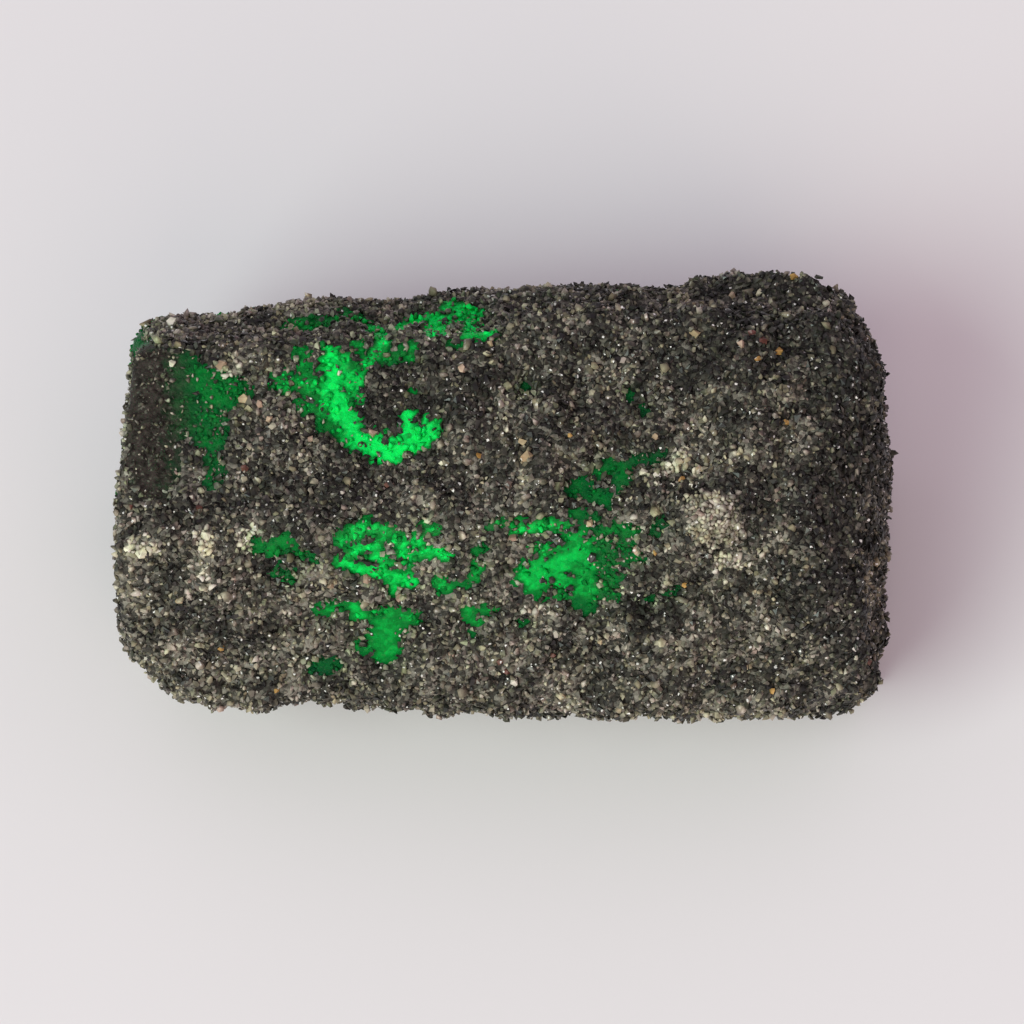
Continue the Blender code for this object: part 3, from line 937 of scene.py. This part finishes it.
def grain_material(name, stops, gloss, mottle):
    """Grains whose tone runs over the stops by chance and by place, mottled, with a few painted glints.
    """
    material, wire, shader = start_material(name)
    shade, hue, tinge, pale = [stored(wire, name) for name in ("shade", "hue", "tinge", "pale")]
    tone = shade * 0.32 + 0.30 + (pale - 0.5) * 0.8 + (cloud(wire, CLUMP_SIZE) - 0.5) * 3.0
    tone = (tone + (cloud(wire, MOTTLE_SIZE, 3.0, 0.6) - 0.5) * mottle).clamped()
    colour = ramp(wire, tone, stops)
    patchy = (hue * 0.7 + 0.15 + (cloud(wire, TINT_SIZE) - 0.5) * 1.3).clamped()
    colour = tinted(wire, 1.0, colour, ramp(wire, patchy, GRAIN_TINTS))
    # painted green light on grains next to a window
    colour = tinted(wire, tinge * 0.3, colour, coloured(PAINTED_GREEN_LIGHT))
    # painted glints: near-white specks in the colour, standing for highlights on tiny facets
    painted_glint_chance = crystals(wire, SPECK_SIZE)[1]
    painted_glint = (painted_glint_chance * PAINTED_GLINT_STEEP - PAINTED_GLINT_STEEP * PAINTED_GLINTS_FROM).clamped()
    colour = blend(wire, painted_glint, colour, coloured(PAINTED_GLINT))
    plug(colour, shader, "Base Color")
    plug((gloss + hue * 0.4).clamped(), shader, "Roughness")
    shader.inputs["IOR"].default_value = 1.54
    shader.inputs["Specular IOR Level"].default_value = 0.35
    return material


def add_grains(kind, ground, shape, stops, gloss, mottle, **layer):
    """The piece with one kind of grain over a ground, in shapes and a material of its own."""
    shapes = grain_shapes(kind, *shape)
    scatter(kind + "_grains", ground, shapes, grain_material(kind, stops, gloss, mottle), **layer)


add_grains("mica", bed, (8, (1.15, 0.95, 0.5), 0.35, False, 11),
           [(0.0, (0.007, 0.007, 0.007)), (0.6, (0.040, 0.038, 0.032)), (1.0, (0.140, 0.127, 0.104))],
           gloss=0.25, mottle=0.25, seed=3, spacing=0.32, sizes=(0.24, 0.46), lift=0.05, tilt=0.5)
add_grains("hornblende", bed, (8, (0.75, 0.75, 1.3), 0.3, False, 23),
           [(0.0, (0.010, 0.012, 0.009)), (0.6, (0.070, 0.073, 0.058)), (1.0, (0.200, 0.200, 0.155))],
           gloss=0.35, mottle=0.3, seed=5, spacing=0.32, sizes=(0.18, 0.40), where="dark", lift=0.1,
           tilt=1.5)
add_grains("smoky_quartz", bed, (9, (1.2, 0.9, 0.75), 0.4, False, 37),
           [(0.0, (0.030, 0.029, 0.026)), (0.5, (0.140, 0.131, 0.112)), (1.0, (0.370, 0.350, 0.300))],
           gloss=0.25, mottle=0.3, seed=7, spacing=0.32, sizes=(0.17, 0.38), lift=0.1)
add_grains("quartz", bed, (9, (1.2, 0.85, 0.75), 0.4, False, 41),
           [(0.0, (0.080, 0.073, 0.060)), (0.6, (0.230, 0.212, 0.176)), (1.0, (0.430, 0.400, 0.345))],
           gloss=0.25, mottle=0.3, seed=9, spacing=0.32, sizes=(0.15, 0.34), where="light",
           share=0.65, lift=0.12)
add_grains("feldspar", bed, (10, (1.2, 0.9, 0.75), 0.3, True, 53),
           [(0.0, (0.120, 0.107, 0.084)), (0.7, (0.280, 0.250, 0.205)), (1.0, (0.520, 0.485, 0.425))],
           gloss=0.3, mottle=0.3, seed=13, spacing=0.80, sizes=(0.22, 0.54), where="light",
           share=0.9)
add_grains("pale_patch", bed, (9, (1.2, 0.9, 0.7), 0.35, True, 59),
           [(0.0, (0.170, 0.162, 0.135)), (0.5, (0.370, 0.355, 0.300)), (1.0, (0.640, 0.620, 0.550))],
           gloss=0.35, mottle=0.2, seed=15, spacing=0.14, sizes=(0.22, 0.40), where="patch",
           lift=0.2)
add_grains("veil", emerald, (8, (1.2, 0.9, 0.6), 0.4, True, 61),
           [(0.0, (0.014, 0.020, 0.012)), (0.5, (0.100, 0.100, 0.078)), (1.0, (0.450, 0.425, 0.360))],
           gloss=0.3, mottle=0.6, seed=17, spacing=0.17, sizes=(0.12, 0.34), where="specks",
           share=0.9)
green_shapes = grain_shapes("emerald", 9, (1.15, 0.95, 0.7), 0.35, True, 67)
scatter("emerald_grains", emerald, green_shapes, emerald.data.materials[0], seed=19, spacing=0.20,
        sizes=(0.14, 0.42), where="lumps", share=0.9, lift=0.0, slot="emerald")


# The odd grains that stand out in the photograph, each where it shows: white quartz and feldspar,
# tan and amber ones stained by iron, rusty ones, and a few dark ones on the green. They are grown
# onto the crust like the rest.

ODD_GRAINS = {
    "white": ([(0.0, (0.50, 0.49, 0.45)), (1.0, (0.80, 0.79, 0.75))], [
        (172, 326, 15), (172, 364, 9), (760, 294, 9), (643, 473, 11), (657, 476, 9), (672, 486, 7),
        (691, 487, 7), (678, 463, 12), (668, 466, 9), (500, 388, 5), (507, 397, 5), (854, 648, 7),
        (855, 657, 7), (206, 536, 12), (246, 538, 10), (141, 551, 14), (128, 548, 9), (513, 681, 10),
        (340, 374, 7), (441, 463, 6), (300, 455, 6), (342, 493, 6), (560, 470, 6), (713, 545, 8)]),
    "tan": ([(0.0, (0.26, 0.19, 0.14)), (1.0, (0.48, 0.38, 0.29))], [
        (527, 457, 14), (523, 441, 9), (463, 369, 11), (372, 431, 12), (367, 580, 12), (732, 297, 9),
        (636, 549, 10), (513, 536, 10), (403, 598, 12), (590, 523, 10), (655, 436, 9), (741, 345, 10),
        (693, 333, 12), (244, 400, 13), (222, 366, 12), (262, 404, 10), (270, 420, 9), (310, 440, 8),
        (452, 655, 10), (700, 470, 10), (600, 640, 9), (330, 585, 9), (180, 600, 9), (490, 345, 8)]),
    "amber": ([(0.0, (0.26, 0.14, 0.04)), (1.0, (0.48, 0.30, 0.11))], [
        (794, 278, 10), (778, 353, 11), (757, 359, 8), (785, 423, 8), (682, 480, 8), (478, 456, 7),
        (685, 584, 8), (221, 648, 8), (772, 691, 8), (570, 436, 6), (655, 552, 6), (276, 690, 8)]),
    "rusty": ([(0.0, (0.08, 0.030, 0.026)), (1.0, (0.15, 0.065, 0.055))], [
        (762, 340, 12), (752, 334, 9), (506, 671, 9), (867, 662, 9), (886, 600, 7), (130, 507, 8),
        (198, 509, 9), (245, 469, 9), (387, 485, 8), (500, 662, 8), (552, 655, 7)]),
    "dark": ([(0.0, (0.010, 0.012, 0.010)), (1.0, (0.05, 0.04, 0.04))], [
        (557, 539, 13), (592, 557, 12), (542, 580, 9), (552, 579, 8), (640, 382, 12), (492, 386, 14)]),
}
PIXEL = PICTURE_WIDTH / PICTURE
ODD_RISE = 0.18          # of a grain's size, from the surface to its middle
ODD_SHAPE = (10, (1.1, 0.95, 0.85), 0.25, False)
ODD_GLOSS, ODD_MOTTLE = 0.3, 0.5
built_surfaces = [surface_of(bed.data), surface_of(emerald.data)]


def nearest_seen(pixel):
    """Where a pixel's ray first meets the built crust or crystal, and the way the surface faces."""
    ray = ray_through(pixel)
    hits = [tree.ray_cast(camera.location, ray) for tree in built_surfaces]
    hits = [hit for hit in hits if hit[0] is not None]
    return min(hits, key=lambda hit: hit[3])[:2] if hits else None


def make_odd_grains(kind, stops, spots):
    """One piece with the grains of a colour, sunk by a third into what carries them."""
    draw = random.Random(kind)
    shapes = [holder.data for holder in grain_shapes(kind, *ODD_SHAPE, kind).objects]
    form = bmesh.new()
    shades = []
    for across, down, width in spots:
        seen = nearest_seen((across, down))
        if seen is None:
            continue
        place, facing = seen
        size = width * PIXEL
        before = len(form.verts)
        form.from_mesh(draw.choice(shapes))
        form.verts.ensure_lookup_table()
        turn = Euler([draw.uniform(0, 2 * math.pi) for axis in range(3)]).to_matrix()
        for vertex in form.verts[before:]:
            vertex.co = place + facing * size * ODD_RISE + turn @ vertex.co * size
        shades += [draw.random()] * (len(form.verts) - before)
    mesh = bpy.data.meshes.new(kind + "_grains")
    form.to_mesh(mesh)
    form.free()
    add_values(mesh, {"shade": shades, "hue": shades, "pale": [EVEN_SHADE] * len(shades)})
    mesh.materials.append(grain_material(kind, stops, ODD_GLOSS, ODD_MOTTLE))
    grains = add_object(kind + "_grains", mesh)
    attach(grains, "root")


for kind, (stops, spots) in ODD_GRAINS.items():
    make_odd_grains(kind, stops, spots)


# The stage: white paper under the stone, a broad lamp from the left front, a weak warm one low in
# front, and pale light from all round. None of it belongs to the object.

PAPER_COLOUR = (0.72, 0.71, 0.73)
PAPER_HALF = 0.6         # metres, of its width
ROOM_COLOUR, ROOM_LIGHT = (1.0, 0.82, 0.96), 0.53


def make_paper():
    mesh = bpy.data.meshes.new("paper")
    corners = [(x * PAPER_HALF, y * PAPER_HALF, 0) for x, y in ((-1, -1), (1, -1), (1, 1), (-1, 1))]
    mesh.from_pydata(corners, [], [(0, 1, 2, 3)])
    material, wire, shader = start_material("paper")
    shader.inputs["Base Color"].default_value = coloured(PAPER_COLOUR)
    shader.inputs["Roughness"].default_value = 0.9
    mesh.materials.append(material)
    add_object("paper", mesh)


def make_lamp(name, place, size, power, colour):
    """A square lamp that faces the stone."""
    lamp = bpy.data.objects.new(name, bpy.data.lights.new(name, "AREA"))
    scene.collection.objects.link(lamp)
    lamp.location = place
    lamp.rotation_euler = (-lamp.location).to_track_quat("-Z", "Y").to_euler()
    lamp.data.size = size
    lamp.data.energy = power
    lamp.data.color = colour


make_paper()
make_lamp("key", Vector((-0.46, -0.42, 0.62)), size=0.50, power=6.0, colour=(0.83, 1.0, 0.88))
make_lamp("fill", Vector((0.12, -0.52, 0.40)), size=0.40, power=1.2, colour=(1.0, 0.77, 0.62))
world = bpy.data.worlds.new("studio")
scene.world = world
world.use_nodes = True
room = world.node_tree.nodes["Background"]
room.inputs["Color"].default_value = coloured(ROOM_COLOUR)
room.inputs["Strength"].default_value = ROOM_LIGHT
scene.view_settings.view_transform = "Standard"
